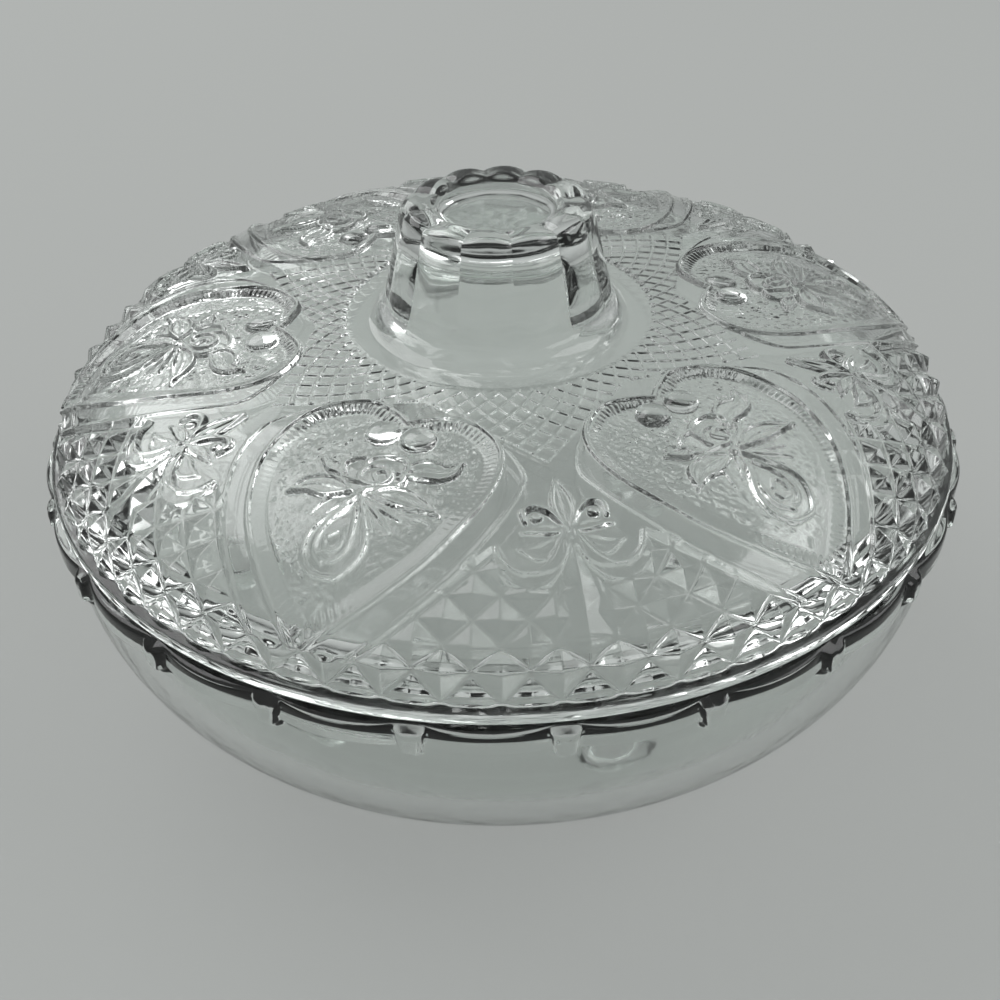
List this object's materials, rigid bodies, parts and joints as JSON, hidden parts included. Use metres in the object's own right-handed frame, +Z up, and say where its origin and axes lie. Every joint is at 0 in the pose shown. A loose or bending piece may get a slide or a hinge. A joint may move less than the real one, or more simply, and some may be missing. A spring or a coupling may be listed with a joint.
{
  "type": "covered candy dish",
  "caption": "Round pressed-glass candy dish on ball feet, with a loose domed lid that lifts off by its fluted knob.",
  "frame": {"origin": "on the table, under the centre of the dish", "axes": "+Z up along the dish's axis of symmetry, -Y towards the front, where one palmette of the lid points"},
  "size_m": [0.1788, 0.1788, 0.0991],
  "materials": {
    "bowl_glass": "clear pressed glass, fire-polished",
    "lid_glass": "clear pressed glass, fire-polished"
  },
  "bodies": {
    "bowl": {"bowl": "bowl_glass"},
    "lid": {"lid": "lid_glass"}
  },
  "joints": [
    {"name": "lid_lift", "type": "slide", "parent": "bowl", "child": "lid", "axis": [0, 0, 1], "range_m": [0, 0.12]}
  ]
}
